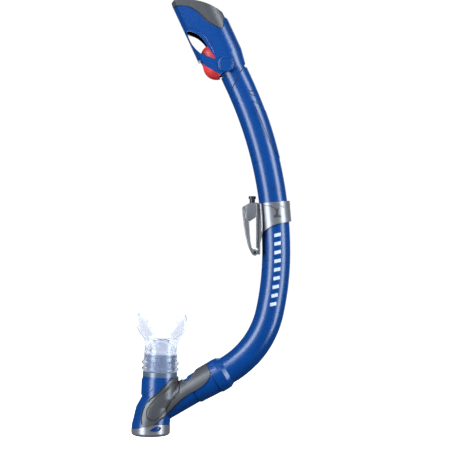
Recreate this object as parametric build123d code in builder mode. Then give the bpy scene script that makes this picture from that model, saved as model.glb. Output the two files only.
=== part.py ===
"""Dry-top snorkel: a curved tube, a float-valve head, a mask keeper with a strap clip,
a lower chamber with a purge valve, and a soft mouthpiece.

Millimetres. +Z is up, +X runs from the mouthpiece towards the tube, and the object is
symmetric about Y = 0. The origin is the centre of the keeper's strap slot.
"""
import os
from math import asin, atan2, cos, degrees, radians, sin

from build123d import *

os.makedirs("parts", exist_ok=True)

# ---- driving dimensions ---------------------------------------------------------------
# main tube: two gentle bends and an elbow, all in the plane Y = 0
TUBE_R = 14.2
TUBE_BORE_R = 12.0
APEX = (23.5, -17.0)            # where the tube stands upright
UPPER_BEND_R = 400.0
UPPER_BEND_DEG = 24.84
LOWER_BEND_R = 280.0
LOWER_BEND_DEG = 12.5
ELBOW_R = 89.6
ARM_RISE_DEG = 30.0             # slope of the chamber's arm and the tube's foot
FOOT_LENGTH = 14.4              # straight foot below the elbow
LEAF_RISE = 0.45                # height of the moulded leaf below the head
SOCKET_R = 16.8
SOCKET_BORE_R = 14.6
SOCKET_FLOOR = 2.9              # the socket starts this far below the elbow

# head
HEAD_R = 17.0                   # round end of the housing
BAY_REACH = 28.0                # the float bay reaches this far from the tube's axis
HEAD_WALL = 2.0
SPIGOT_R = 12.9                 # the tube's top, inside the housing
MOUTH_S = 12.5                  # height of the tube's mouth above the head joint
PARTING_DEG = 38.9              # slope of the line where the housing meets the tube
PARTING_S = 5.05
PIVOT = (-4.5, 22.5)            # float pivot in the head's own (across, along) plane
PIN_R = 1.5
PIN_BOSS_R = 3.1                # boss in each side wall that the pin turns in
PIN_REACH = HEAD_R - 0.6        # the pin ends just under its two caps
PIVOT_CAP_R = 8.2
PIVOT_CAP_THICK = 1.2
FLOAT_SWING_DEG = 20.0
PORT_R = 7.0
PORT_U = 2.5                    # the port is set off from the tube's axis
SEAT_THICK = 1.6
PORT_LIP = 1.3                  # width of the raised rim around the port
PORT_LIP_TOP = 2.6
FACET_U, FACET_Y = 3.6, 7.5     # flat facet on each long corner of the bay

# mask keeper
LINER_R = 14.85
LINER_FOOT, LINER_TOP = -6.0, 13.0      # along the collar's axis, hidden inside it
COLLAR_BORE_R = 14.93
COLLAR_R = 16.3
COLLAR_RIBS = (9.5, 11.2, 12.9)
CLIP_HALF = 14.0                # half the clip's length along the strap's width
STRAP_SLOT = (-3.4, 3.5, -12.5, 13.5)   # low x, high x, low z, high z
CLIP_PIN = (1.6, -17.4)
CLIP_PIN_R = 1.3
KNUCKLE_R = 3.1
KNUCKLE_HALF = 5.0              # half the length of the frame's middle knuckle
BUTTON_X = -0.6
BUTTON_R = 2.75
BUTTON_HEAD_R = 3.7
RIB_RISE, RIB_WIDTH = 0.35, 0.8

# lower chamber
NECK_X, NECK_Z = -93.3, -141.5
NECK_LEAN_DEG = 2.4
NECK_R = 17.4
NECK_BORE_R = 14.6
ARM_R = 13.6
BOWL = (-102.6, 19.2, 18.3)     # bowl centre x, half width, half depth
BOWL_Z = -190.5
SHOULDER = (-99.2, 17.9, 17.9)  # the bowl's shoulder under the neck, as above
SHOULDER_Z = -171.5
FOOT_RIM_Z = -195.0             # the chamber's foot, inside the purge cover
CHAMBER_WALL = 2.4
SPIGOT_OUTER_R = 15.5
MOUTHPIECE_BORE_R = 15.58

RUNNING = 0.08                  # radial clearance of everything that turns or slides


# ---- frames ---------------------------------------------------------------------------
def turned(x, z, degrees_):
    """A plane normal to a line in Y = 0 that leans back by degrees_ from straight up."""
    lean = radians(degrees_)
    return Plane(origin=(x, 0, z), x_dir=(cos(lean), 0, sin(lean)),
                 z_dir=(-sin(lean), 0, cos(lean)))


def side_of(plane):
    """The upright plane through a turned plane's own x and z directions."""
    return Plane(origin=plane.origin, x_dir=plane.x_dir, z_dir=(0, -1, 0))


UPPER_CENTRE = (APEX[0] - UPPER_BEND_R, APEX[1])
LOWER_CENTRE = (APEX[0] - LOWER_BEND_R, APEX[1])
JOINT_X = UPPER_CENTRE[0] + UPPER_BEND_R * cos(radians(UPPER_BEND_DEG))
JOINT_Z = UPPER_CENTRE[1] + UPPER_BEND_R * sin(radians(UPPER_BEND_DEG))
ELBOW_TOP = (LOWER_CENTRE[0] + LOWER_BEND_R * cos(radians(LOWER_BEND_DEG)),
             LOWER_CENTRE[1] - LOWER_BEND_R * sin(radians(LOWER_BEND_DEG)))
ELBOW_CENTRE = (ELBOW_TOP[0] - ELBOW_R * cos(radians(LOWER_BEND_DEG)),
                ELBOW_TOP[1] + ELBOW_R * sin(radians(LOWER_BEND_DEG)))
ELBOW_TURN_DEG = 90 - ARM_RISE_DEG - LOWER_BEND_DEG

HEAD = turned(JOINT_X, JOINT_Z, UPPER_BEND_DEG)
HEAD_SIDE = side_of(HEAD)


def head_level(s):
    """The plane across the head at a height s above the head joint."""
    return HEAD.offset(s)


def keeper_plane(z):
    """The plane across the tube's upper bend at a height z."""
    turn = degrees(atan2(z - UPPER_CENTRE[1], UPPER_BEND_R))
    x = UPPER_CENTRE[0] + UPPER_BEND_R * cos(radians(turn))
    return turned(x, UPPER_CENTRE[1] + UPPER_BEND_R * sin(radians(turn)), turn)


COLLAR = keeper_plane(19.0)     # the collar turns about the tube's direction here
COLLAR_SIDE = side_of(COLLAR)
NECK = turned(NECK_X, NECK_Z, -NECK_LEAN_DEG)
NECK_SIDE = side_of(NECK)


# ---- main tube ------------------------------------------------------------------------
with BuildLine(Plane.XZ) as centreline:
    upper = CenterArc(UPPER_CENTRE, UPPER_BEND_R, UPPER_BEND_DEG, -UPPER_BEND_DEG)
    lower = CenterArc(LOWER_CENTRE, LOWER_BEND_R, 0, -LOWER_BEND_DEG)
    elbow = CenterArc(ELBOW_CENTRE, ELBOW_R, -LOWER_BEND_DEG, -ELBOW_TURN_DEG)

ELBOW_END = centreline.line @ 1
FOOT = Plane(origin=ELBOW_END,
             x_dir=(-sin(radians(ARM_RISE_DEG)), 0, cos(radians(ARM_RISE_DEG))),
             z_dir=(-cos(radians(ARM_RISE_DEG)), 0, -sin(radians(ARM_RISE_DEG))))
FOOT_SIDE = Plane(origin=FOOT.origin, x_dir=FOOT.z_dir, z_dir=(0, -1, 0))


def tube_run(radius, top=MOUTH_S):
    """A solid rod along the tube's centreline, from above the head joint to the elbow's end."""
    with BuildPart() as run:
        with BuildSketch(HEAD):
            Circle(radius)
        sweep(path=centreline.line)
        with BuildSketch(HEAD):
            Circle(radius)
        extrude(amount=top)
    return run.part


def turned_ring(plane, side, low, high, outer, inner):
    """A plain ring about a turned plane's own axis."""
    with BuildPart() as ring:
        with BuildSketch(side):
            with Locations(((outer + inner) / 2, (low + high) / 2)):
                Rectangle(outer - inner, high - low)
        revolve(axis=Axis(plane.origin, plane.z_dir))
    return ring.part


def parting_wedge():
    """Everything above the sloping line where the housing meets the tube."""
    slope = radians(PARTING_DEG)
    reach = 60
    with BuildPart() as wedge:
        with BuildSketch(HEAD_SIDE):
            with BuildLine():
                Polyline((-reach * cos(slope), PARTING_S - reach * sin(slope)),
                         (reach * cos(slope), PARTING_S + reach * sin(slope)),
                         (reach * cos(slope), 140), (-reach * cos(slope), 140), close=True)
            make_face()
        extrude(amount=40, both=True)
    return wedge.part


with BuildPart() as leaf_prism:
    # a leaf-shaped panel along the tube's outer side, tapering to nothing
    with BuildSketch(Plane.XZ):
        with BuildLine():
            brow = Spline((-2.0, 133.2), (2.6, 132.0), (9.6, 127.4), (17.0, 120.0))
            Polyline(brow @ 1, (36, 100), (36, 74), (26.2, 77.4))
            Spline((26.2, 77.4), (15.8, 94.0), (10.2, 104.5), (5.4, 113.7), (1.2, 124.0),
                   brow @ 0)
        make_face()
    extrude(amount=20, both=True)

tube_rod = tube_run(TUBE_R)
leaf_rod = tube_run(TUBE_R + LEAF_RISE) & leaf_prism.part
tube_hollow = tube_run(TUBE_BORE_R, MOUTH_S + 1)
above_joint = parting_wedge()
tube_shoulder = turned_ring(HEAD, HEAD_SIDE, -12, MOUTH_S + 2, TUBE_R + 1, SPIGOT_R) & above_joint

with BuildPart() as foot_flare:
    with BuildSketch(FOOT_SIDE):
        with BuildLine():
            Polyline((0, 0), (0, TUBE_R), (4, SOCKET_R - 0.4), (8, SOCKET_R),
                     (FOOT_LENGTH, SOCKET_R), (FOOT_LENGTH, 0), close=True)
        make_face()
    revolve(axis=Axis(FOOT.origin, FOOT.z_dir))

with BuildPart() as foot_bore:
    with BuildSketch(FOOT):
        Circle(TUBE_BORE_R)
    extrude(amount=SOCKET_FLOOR)
    with BuildSketch(FOOT.offset(SOCKET_FLOOR)):
        Circle(SOCKET_BORE_R)
    extrude(amount=FOOT_LENGTH)

with BuildPart() as main_tube:
    add(tube_rod)
    add(leaf_rod)
    add(foot_flare.part)
    add(tube_hollow, mode=Mode.SUBTRACT)
    add(foot_bore.part, mode=Mode.SUBTRACT)
    add(tube_shoulder, mode=Mode.SUBTRACT)


# ---- dry-top head ---------------------------------------------------------------------
def corner_facets(inset):
    """The two flat facets that take off the bay's long corners, seen along the head."""
    face_u, side_y = inset - BAY_REACH, HEAD_R - inset
    with BuildPart() as facets:
        for hand in (1, -1):
            with BuildSketch(HEAD.offset(-12)):
                with BuildLine():
                    Polyline((face_u, hand * (side_y - FACET_Y)),
                             (face_u + FACET_U, hand * side_y),
                             (face_u + FACET_U, hand * (side_y + 9)),
                             (face_u - 9, hand * (side_y + 9)),
                             (face_u - 9, hand * (side_y - FACET_Y)), close=True)
                make_face()
            extrude(amount=122)
    return facets.part


def head_form(inset):
    """The head's solid form: a round column with a float bay, smaller all round by inset."""
    with BuildPart() as form:
        with BuildSketch(HEAD_SIDE):
            with BuildLine():
                Polyline((0, -12), (TUBE_R - inset, -12), (TUBE_R - inset, 16),
                         (HEAD_R - inset, 32), (HEAD_R - inset, 110), (0, 110), close=True)
            make_face()
        revolve(axis=Axis(HEAD.origin, HEAD.z_dir))
        with BuildSketch(HEAD_SIDE):
            with BuildLine():
                Polyline((0, 110), (0, 16), (inset - TUBE_R, 16),
                         (inset - BAY_REACH, 36 + inset), (inset - BAY_REACH, 110), close=True)
            make_face()
        extrude(amount=HEAD_R - inset, both=True)
        add(corner_facets(inset), mode=Mode.SUBTRACT)
    return form.part


def head_outline(inset):
    """The head seen from the side, between the tube and the arched roof."""
    with BuildPart() as outline:
        with BuildSketch(HEAD_SIDE) as face:
            with BuildLine():
                start = Line((-30 + inset, -20), (-30 + inset, 99.4 - inset))
                tip = ThreePointArc(start @ 1, (-27 + inset, 101.2 - inset),
                                    (-22.5, 101.2 - inset * 1.1))
                ThreePointArc(tip @ 1, (-2 - inset * 0.6, 90.3 - inset * 0.8),
                              (14.2 - inset, 72.0 - inset * 0.5))
                Polyline((14.2 - inset, 72.0 - inset * 0.5), (14.5 - inset, 66.2),
                         (17.1, 63.8 - inset), (20, 63.8 - inset), (20, -20),
                         (-30 + inset, -20))
            make_face()
        extrude(amount=40, both=True)
    return outline.part


def cap_region(gap):
    """The part of the head that belongs to the cap, above its S-shaped lower border."""
    with BuildPart() as region:
        with BuildSketch(HEAD_SIDE):
            with BuildLine():
                border = Spline((-32, 96.6 + gap), (-15, 89.7 + gap), (-9.0, 82.0 + gap),
                                (-4.6, 70.1 + gap), (0.4, 62.2 + gap), (5.2, 57.0 + gap))
                turn = ThreePointArc(border @ 1, (6.9, 56.5 + gap), (8.3, 57.6 + gap))
                Polyline(turn @ 1, (12.8 - gap, 65.0), (15.4, 67.4), (15.4, 112), (-32, 112),
                         border @ 0)
            make_face()
        extrude(amount=40, both=True)
    return region.part


def window_prism():
    """The float window in the housing's sides, and the open foot of the bay below the bars."""
    with BuildPart() as prism:
        with BuildSketch(HEAD_SIDE):
            with BuildLine():
                arch = ThreePointArc((-25.9, 69.0), (-17.6, 60.6), (-14.0, 47.0))
                Line(arch @ 1, (-11.0, 32.6))
                Line((-11.0, 32.6), (-12.8, 31.6))
                Line((-12.8, 31.6), (-23.2, 43.2))
                ThreePointArc((-23.2, 43.2), (-25.4, 49.0), arch @ 0)
            make_face()
        extrude(amount=40, both=True)
    return prism.part


head_solid = head_form(0) & head_outline(0)
head_hollow = head_form(HEAD_WALL) & head_outline(HEAD_WALL)
socket_hollow = turned_ring(HEAD, HEAD_SIDE, -14, MOUTH_S + 2, SPIGOT_R + 0.05, 0.0)
port_face = turned_ring(HEAD, HEAD_SIDE, MOUTH_S, 34, TUBE_R - 1.3, 0.0)
cap_space = cap_region(0.0)
window_cut = window_prism()

with BuildPart() as foot_of_bay:
    # below the crossbars the bay is open: only the two sides come down to the tube
    with BuildSketch(HEAD_SIDE):
        with BuildLine():
            Polyline((-31, 37.4), (-24, 37.4), (-12.2, 21.6), (-12.2, 13), (-31, 13), close=True)
        make_face()
    extrude(amount=HEAD_R - HEAD_WALL, both=True)

with BuildPart() as valve_housing:
    add(head_solid)
    add(head_hollow, mode=Mode.SUBTRACT)
    add(cap_space, mode=Mode.SUBTRACT)
    add(window_cut, mode=Mode.SUBTRACT)
    add(foot_of_bay.part, mode=Mode.SUBTRACT)
    add(above_joint, mode=Mode.INTERSECT)
    add(socket_hollow, mode=Mode.SUBTRACT)
    add(port_face, mode=Mode.SUBTRACT)
    with BuildSketch(HEAD_SIDE):
        with Locations(PIVOT):
            Circle(PIN_BOSS_R)
    extrude(amount=PIN_REACH, both=True, mode=Mode.ADD)
    with BuildSketch(HEAD_SIDE):
        with Locations(PIVOT):
            Circle(PIN_BOSS_R + 1.4)
    extrude(amount=HEAD_R - HEAD_WALL - 1.4, both=True, mode=Mode.SUBTRACT)
    with BuildSketch(HEAD_SIDE):
        with Locations(PIVOT):
            Circle(PIN_R)
    extrude(amount=HEAD_R + 2, both=True, mode=Mode.SUBTRACT)

with BuildPart() as head_cap:
    add(head_solid)
    add(head_hollow, mode=Mode.SUBTRACT)
    add(cap_region(0.25), mode=Mode.INTERSECT)

with BuildPart() as valve_seat:
    with BuildSketch(head_level(MOUTH_S)):
        Circle(SPIGOT_R - 0.1)
    extrude(amount=SEAT_THICK)
    with BuildSketch(head_level(MOUTH_S)):
        with Locations((PORT_U, 0)):
            Circle(PORT_R + PORT_LIP)
    extrude(amount=PORT_LIP_TOP)
    with BuildSketch(head_level(MOUTH_S)):
        with Locations((PORT_U, 0)):
            Circle(PORT_R)
    extrude(amount=PORT_LIP_TOP, mode=Mode.SUBTRACT)

with BuildPart() as pivot_pin:
    with BuildSketch(HEAD_SIDE):
        with Locations(PIVOT):
            Circle(PIN_R)
    extrude(amount=PIN_REACH, both=True)

with BuildPart() as pivot_caps:
    for side in (1, -1):
        with BuildSketch(HEAD_SIDE.offset(side * HEAD_R)):
            with Locations(PIVOT):
                Circle(PIVOT_CAP_R)
        extrude(amount=side * PIVOT_CAP_THICK)
    rims = edges().filter_by(GeomType.CIRCLE).group_by(Axis.Y)
    fillet(rims[0] + rims[-1], 0.8)


# ---- float valve ----------------------------------------------------------------------
def lever_plane():
    """The side plane about the pivot, turned back by the swing from the closed position."""
    swing = radians(FLOAT_SWING_DEG)
    origin = HEAD_SIDE.from_local_coords(Vector(PIVOT[0], PIVOT[1], 0))
    x_dir = HEAD.x_dir * cos(swing) + HEAD.z_dir * sin(swing)
    return Plane(origin=origin, x_dir=x_dir, z_dir=(0, -1, 0))


LEVER_SIDE = lever_plane()
SEAL_R = PORT_R + PORT_LIP
SEAL_X = PORT_U - PIVOT[0]                       # seal centre from the pivot, valve closed
SEAL_GAP = 0.4                                   # left above the port when closed
SEAL_Y = MOUTH_S + PORT_LIP_TOP + SEAL_GAP - PIVOT[1]    # underside from the pivot
SEAL_THICK = 1.6
RETAINER_THICK = 1.0
HUB_R, HUB_HALF = 3.9, 6.0
ARM_HALF = 2.0                                   # half the lever's thickness


def seal_ring(low, thick, radius):
    """A disc of the seal stack, in its rest position with the valve open."""
    level = Plane(origin=LEVER_SIDE.from_local_coords(Vector(SEAL_X, low, 0)),
                  x_dir=LEVER_SIDE.x_dir, z_dir=LEVER_SIDE.y_dir)
    with BuildPart() as disc:
        with BuildSketch(level):
            Circle(radius)
        extrude(amount=thick)
    return disc.part


with BuildPart() as seal_disc:
    add(seal_ring(SEAL_Y, SEAL_THICK, SEAL_R))
    fillet(edges().filter_by(GeomType.CIRCLE), 0.5)

with BuildPart() as seal_retainer:
    add(seal_ring(SEAL_Y + SEAL_THICK, RETAINER_THICK, SEAL_R - 1.5))
    fillet(edges().filter_by(GeomType.CIRCLE).sort_by(Axis(HEAD.origin, HEAD.z_dir))[-1], 0.4)

with BuildPart() as float_lever:
    web_foot = SEAL_Y + SEAL_THICK + RETAINER_THICK
    with BuildSketch(LEVER_SIDE):
        with BuildLine():
            Polyline((-0.5, web_foot), (12.4, web_foot), (12.4, web_foot + 1.1),
                     (3.4, 2.2), (-2, 3.8), close=True)
        make_face()
    extrude(amount=ARM_HALF, both=True)
    with BuildSketch(HEAD_SIDE):
        with BuildLine():
            Polyline((PIVOT[0], PIVOT[1] - 2.4), (PIVOT[0], PIVOT[1] + 3.4),
                     (-17, 33), (-19, 27), close=True)
        make_face()
    extrude(amount=ARM_HALF, both=True)
    with BuildSketch(HEAD_SIDE):
        with Locations(PIVOT):
            Circle(HUB_R)
    extrude(amount=HUB_HALF, both=True)
    with BuildSketch(HEAD_SIDE):
        with Locations(PIVOT):
            Circle(PIN_R + RUNNING)
    extrude(amount=HUB_HALF, both=True, mode=Mode.SUBTRACT)

FLOAT_LOW_R, FLOAT_HIGH_R = 13.4, 10.6          # the float is an egg: two balls and a cone
FLOAT_RISE = 11.8
END_FLAT_DEG = 4.0              # the small moulding flat on each end
FLOAT_SIDE = Plane(origin=HEAD_SIDE.from_local_coords(Vector(-13.4, 26.0, 0)),
                   x_dir=HEAD.x_dir, z_dir=(0, -1, 0))
with BuildPart() as float_pod:
    taper_deg = degrees(asin((FLOAT_LOW_R - FLOAT_HIGH_R) / FLOAT_RISE))
    with BuildSketch(FLOAT_SIDE):
        with BuildLine():
            low_ball = CenterArc((0, 0), FLOAT_LOW_R, END_FLAT_DEG - 90,
                                 90 - END_FLAT_DEG + taper_deg)
            high_ball = CenterArc((0, FLOAT_RISE), FLOAT_HIGH_R, taper_deg,
                                  90 - END_FLAT_DEG - taper_deg)
            Line(low_ball @ 1, high_ball @ 0)
            Polyline(high_ball @ 1, (0, (high_ball @ 1).Y), (0, (low_ball @ 0).Y), low_ball @ 0)
        make_face()
    revolve(axis=Axis(FLOAT_SIDE.origin, FLOAT_SIDE.y_dir))
    with BuildSketch(HEAD_SIDE):
        with BuildLine():
            Polyline((-15.4, 10), (-15.4, 16.8), (-9.4, 18.6), (-9.4, 28.4), (-3.4, 31),
                     (8, 31), (8, 10), close=True)
        make_face()
    extrude(amount=20, both=True, mode=Mode.SUBTRACT)
    add(float_lever.part, mode=Mode.SUBTRACT)


# ---- mask keeper ----------------------------------------------------------------------
slider_rod = tube_run(TUBE_R + RUNNING)

with BuildPart() as keeper_liner:
    with BuildSketch(COLLAR.offset(LINER_FOOT)):
        Circle(LINER_R)
    extrude(amount=LINER_TOP - LINER_FOOT)
    add(slider_rod, mode=Mode.SUBTRACT)

with BuildPart() as keeper_collar:
    # a plain sleeve whose lower edge sweeps down towards the clip
    with BuildSketch(COLLAR.offset(-16.5)):
        Circle(COLLAR_R)
    extrude(amount=30.5)
    for rib in COLLAR_RIBS:
        with BuildSketch(COLLAR.offset(rib)):
            Circle(COLLAR_R + RIB_RISE)
        extrude(amount=RIB_WIDTH)
    with BuildSketch(COLLAR.offset(-17)):
        Circle(COLLAR_BORE_R)
    extrude(amount=34, mode=Mode.SUBTRACT)
    with BuildSketch(COLLAR_SIDE):
        with BuildLine():
            sweep_edge = Spline((-18, -15.6), (-13.5, -14.8), (-8, -11.2), (0, -8.2),
                                (8, -7.1), (19, -6.6))
            Polyline(sweep_edge @ 1, (19, -20), (-18, -20), sweep_edge @ 0)
        make_face()
    extrude(amount=20, both=True, mode=Mode.SUBTRACT)

with BuildPart() as collar_rod:
    with BuildSketch(COLLAR.offset(-40)):
        Circle(COLLAR_R)
    extrude(amount=80)
    for rib in COLLAR_RIBS:
        with BuildSketch(COLLAR.offset(rib)):
            Circle(COLLAR_R + RIB_RISE)
        extrude(amount=RIB_WIDTH)
SLOT_LOW_X, SLOT_HIGH_X, SLOT_LOW_Z, SLOT_HIGH_Z = STRAP_SLOT

with BuildPart() as clip_frame:
    with BuildSketch(Plane.XZ):
        with BuildLine():
            Polyline((SLOT_HIGH_X, SLOT_LOW_Z), (SLOT_HIGH_X, 18.0), (3.0, 18.2),
                     (SLOT_LOW_X, SLOT_HIGH_Z), (-6.6, 15.8), (-7.4, 26.5),
                     (-10.4, 28.0), (-3.9, 31.7), (3.4, 32.2), (8.6, 31.6), (9.6, 20),
                     (9.6, 3), (7.2, -8), (7.0, -19.0), (6.2, -19.8), (5.3, -18.8),
                     (5.1, -14.6), close=True)
        make_face()
    extrude(amount=CLIP_HALF, both=True)
    add(collar_rod.part, mode=Mode.SUBTRACT)
    with BuildSketch(Plane.XZ):
        with Locations(CLIP_PIN):
            Circle(KNUCKLE_R)
        with Locations((CLIP_PIN[0] + 2.4, CLIP_PIN[1])):
            Rectangle(4.8, 4.0)
    extrude(amount=KNUCKLE_HALF, both=True)
    with BuildSketch(Plane.XZ):
        with Locations(CLIP_PIN):
            Circle(CLIP_PIN_R)
    extrude(amount=CLIP_HALF + 1, both=True, mode=Mode.SUBTRACT)
    with BuildSketch(Plane.XY.offset(34)):
        with Locations((BUTTON_X, 0)):
            Circle(BUTTON_R + RUNNING)
    extrude(amount=-12, mode=Mode.SUBTRACT)

with BuildPart() as clip_pin:
    with BuildSketch(Plane.XZ):
        with Locations(CLIP_PIN):
            Circle(CLIP_PIN_R)
    extrude(amount=CLIP_HALF - 0.6, both=True)

with BuildPart() as clip_gate:
    with BuildSketch(Plane.XZ):
        with BuildLine():
            outside = Spline((-10.7, 27.4), (-10.0, 18.5), (-8.6, 9.0), (-6.6, -2.0),
                             (-3.9, -13.2), (-2.6, -16.0), (0.4, -20.2), (2.6, -20.6))
            Line(outside @ 1, (3.0, -17.0))
            Line((3.0, -17.0), (-0.2, -13.6))
            inside = Spline((-0.2, -13.6), (-2.6, -11.6), (-4.2, -3.0), (-6.2, 8.0),
                            (-7.3, 15.0))
            Line(inside @ 1, (-7.9, 26.0))
            Line((-7.9, 26.0), outside @ 0)
        make_face()
    extrude(amount=CLIP_HALF, both=True)
    with BuildSketch(Plane.XZ):
        with Locations(CLIP_PIN):
            Circle(KNUCKLE_R)
    extrude(amount=CLIP_HALF, both=True)
    with BuildSketch(Plane.XZ):
        with Locations(CLIP_PIN):
            Circle(KNUCKLE_R + 0.6)
    extrude(amount=KNUCKLE_HALF + 0.4, both=True, mode=Mode.SUBTRACT)
    with BuildSketch(Plane.XZ):
        with Locations(CLIP_PIN):
            Circle(CLIP_PIN_R + RUNNING)
    extrude(amount=CLIP_HALF + 1, both=True, mode=Mode.SUBTRACT)

with BuildPart() as clip_button:
    with BuildSketch(Plane.XY.offset(28.5)):
        with Locations((BUTTON_X, 0)):
            Circle(BUTTON_R)
    extrude(amount=7.7)
    with BuildSketch(Plane.XY.offset(36.1)):
        with Locations((BUTTON_X, 0)):
            Circle(BUTTON_HEAD_R)
    extrude(amount=2.9)
    fillet(edges().filter_by(GeomType.CIRCLE).group_by(Axis.Z)[-1], 0.9)

with BuildPart() as button_spring:
    with BuildLine() as coil:
        Helix(pitch=1.4, height=5.2, radius=1.9, center=(BUTTON_X, 0, 22.6))
    with BuildSketch(Plane(origin=coil.line @ 0, z_dir=coil.line % 0)):
        Circle(0.3)
    sweep()


# ---- lower chamber --------------------------------------------------------------------
ARM_AXIS = Axis(FOOT.origin, FOOT.z_dir)
ARM_START = FOOT_LENGTH - 10.5      # the arm's end, inside the tube's socket
ARM_REACH = 78.0                    # from the elbow's end to the neck's axis


def chamber_form(grow, arm_start, foot=BOWL_Z):
    """The chamber's solid form, larger all round by grow: neck, bowl and arm."""
    with BuildPart() as form:
        with BuildSketch(NECK):
            Circle(NECK_R + grow)
        extrude(amount=-21)
        with BuildSketch(NECK.offset(-21)):
            Circle(NECK_R + grow)
        with BuildSketch(Plane.XY.offset(SHOULDER_Z)):
            with Locations((SHOULDER[0], 0)):
                Ellipse(SHOULDER[1] + grow, SHOULDER[2] + grow)
        loft()
        with BuildSketch(Plane.XY.offset(SHOULDER_Z)):
            with Locations((SHOULDER[0], 0)):
                Ellipse(SHOULDER[1] + grow, SHOULDER[2] + grow)
        with BuildSketch(Plane.XY.offset(foot)):
            with Locations((BOWL[0], 0)):
                Ellipse(BOWL[1] + grow, BOWL[2] + grow)
        loft()
        with BuildSketch(FOOT.offset(arm_start)):
            Circle(ARM_R + grow)
        extrude(amount=ARM_REACH - arm_start)
    return form.part


def under_border(gap):
    """Everything below the wavy line where the purge cover meets the chamber."""
    with BuildPart() as below:
        with BuildSketch(Plane.XZ):
            with BuildLine():
                border = Spline((-126, -193.4 - gap), (-112.5, -191.6 - gap),
                                (-102.3, -188.5 - gap), (-92.0, -188.3 - gap),
                                (-79.0, -191.6 - gap))
                Polyline(border @ 1, (-79, -210), (-126, -210), border @ 0)
            make_face()
        extrude(amount=40, both=True)
    return below.part


def side_prism(points):
    """A prism across the object over a smooth closed outline in the side view."""
    with BuildPart() as prism:
        with BuildSketch(Plane.XZ):
            with BuildLine():
                Spline(*points, periodic=True)
            make_face()
        extrude(amount=40, both=True)
    return prism.part


chamber_solid = chamber_form(0, ARM_START)
chamber_hollow = chamber_form(-CHAMBER_WALL, ARM_START - 1, BOWL_Z + 2.2)
PURGE_R = 13.0
PURGE_X = BOWL[0]
COVER_WALL = 1.6

with BuildPart() as chamber_body:
    add(chamber_solid)
    with BuildSketch(NECK.offset(-3)):
        Circle(NECK_R + 0.9)
    extrude(amount=-16)
    add(chamber_hollow, mode=Mode.SUBTRACT)
    with BuildSketch(NECK.offset(1)):
        Circle(NECK_BORE_R)
    extrude(amount=-22, mode=Mode.SUBTRACT)
    with BuildSketch(Plane.XY.offset(BOWL_Z)):
        with Locations((PURGE_X, 0)):
            Ellipse(BOWL[1], BOWL[2])
    extrude(amount=FOOT_RIM_Z - BOWL_Z)
    add(under_border(0), mode=Mode.SUBTRACT)
    # the foot goes on down as a thinner rim, and holds the purge valve's seat
    with BuildSketch(Plane.XY.offset(FOOT_RIM_Z)):
        with Locations((PURGE_X, 0)):
            Ellipse(BOWL[1] - COVER_WALL - 0.1, BOWL[2] - COVER_WALL - 0.1)
    extrude(amount=BOWL_Z + 2.2 - FOOT_RIM_Z)
    with BuildSketch(Plane.XY.offset(FOOT_RIM_Z - 1)):
        with Locations((PURGE_X, 0)):
            Circle(PURGE_R)
    extrude(amount=BOWL_Z + 5 - FOOT_RIM_Z, mode=Mode.SUBTRACT)

with BuildPart() as sleeve_rod:
    with BuildSketch(FOOT_SIDE):
        with BuildLine():
            Polyline((FOOT_LENGTH + 0.3, 0), (FOOT_LENGTH + 0.3, 16.0),
                     (FOOT_LENGTH + 23.5, 14.8), (FOOT_LENGTH + 24.4, 14.2),
                     (FOOT_LENGTH + 24.4, 0), close=True)
        make_face()
    revolve(axis=ARM_AXIS)

with BuildPart() as arm_sleeve:
    add(sleeve_rod.part)
    with BuildSketch(FOOT.offset(FOOT_LENGTH - 1)):
        Circle(ARM_R)
    extrude(amount=30, mode=Mode.SUBTRACT)

with BuildPart() as arm_o_ring:
    with BuildSketch(FOOT_SIDE):
        with Locations((FOOT_LENGTH - 5, ARM_R + 0.5)):
            Circle(0.5)
    revolve(axis=ARM_AXIS)

SKIN = 1.5
skin_form = chamber_form(SKIN, FOOT_LENGTH + 0.4)
with BuildPart() as sleeve_cover:
    # over the sleeve the skin stands at the tube socket's own size
    with BuildSketch(FOOT.offset(FOOT_LENGTH + 0.4)):
        Circle(SOCKET_R)
    extrude(amount=26)

skin_outline = side_prism([(-78.5, -141.0), (-88.6, -150.0), (-104.5, -165.6), (-111.2, -180.0),
                           (-109.5, -190.0), (-96.9, -186.6), (-82.8, -174.6),
                           (-68.0, -160.4), (-43.0, -136.0), (-46.5, -126.0),
                           (-58.0, -136.0), (-70.5, -145.4)])
inlay_outline = side_prism([(-77.1, -147.2), (-89.2, -156.9), (-101.8, -168.4),
                            (-105.4, -177.6), (-100.2, -183.0), (-91.8, -178.8),
                            (-80.9, -163.9), (-73.9, -150.6)])
with BuildPart() as chamber_overmould:
    add(skin_form)
    add(sleeve_cover.part)
    add(skin_outline, mode=Mode.INTERSECT)
    add(sleeve_rod.part, mode=Mode.SUBTRACT)
    add(chamber_solid, mode=Mode.SUBTRACT)
    add(chamber_body.part, mode=Mode.SUBTRACT)
    add(under_border(0), mode=Mode.SUBTRACT)

with BuildPart() as chamber_inlay:
    add(chamber_form(SKIN + 0.7, FOOT_LENGTH + 0.4))
    add(inlay_outline, mode=Mode.INTERSECT)
    add(skin_form, mode=Mode.SUBTRACT)

with BuildPart() as neck_spigot:
    with BuildSketch(NECK_SIDE):
        with BuildLine():
            Polyline((NECK_BORE_R - 2.2, -16), (NECK_BORE_R - 0.05, -16), (NECK_BORE_R - 0.05, 0),
                     (NECK_R, 0), (NECK_R, 4.5), (SPIGOT_OUTER_R, 5.2), (SPIGOT_OUTER_R, 20.8),
                     (SPIGOT_OUTER_R - 1.4, 22.2), (NECK_BORE_R - 2.2, 22.2), close=True)
        make_face()
    revolve(axis=Axis(NECK.origin, NECK.z_dir))

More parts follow.
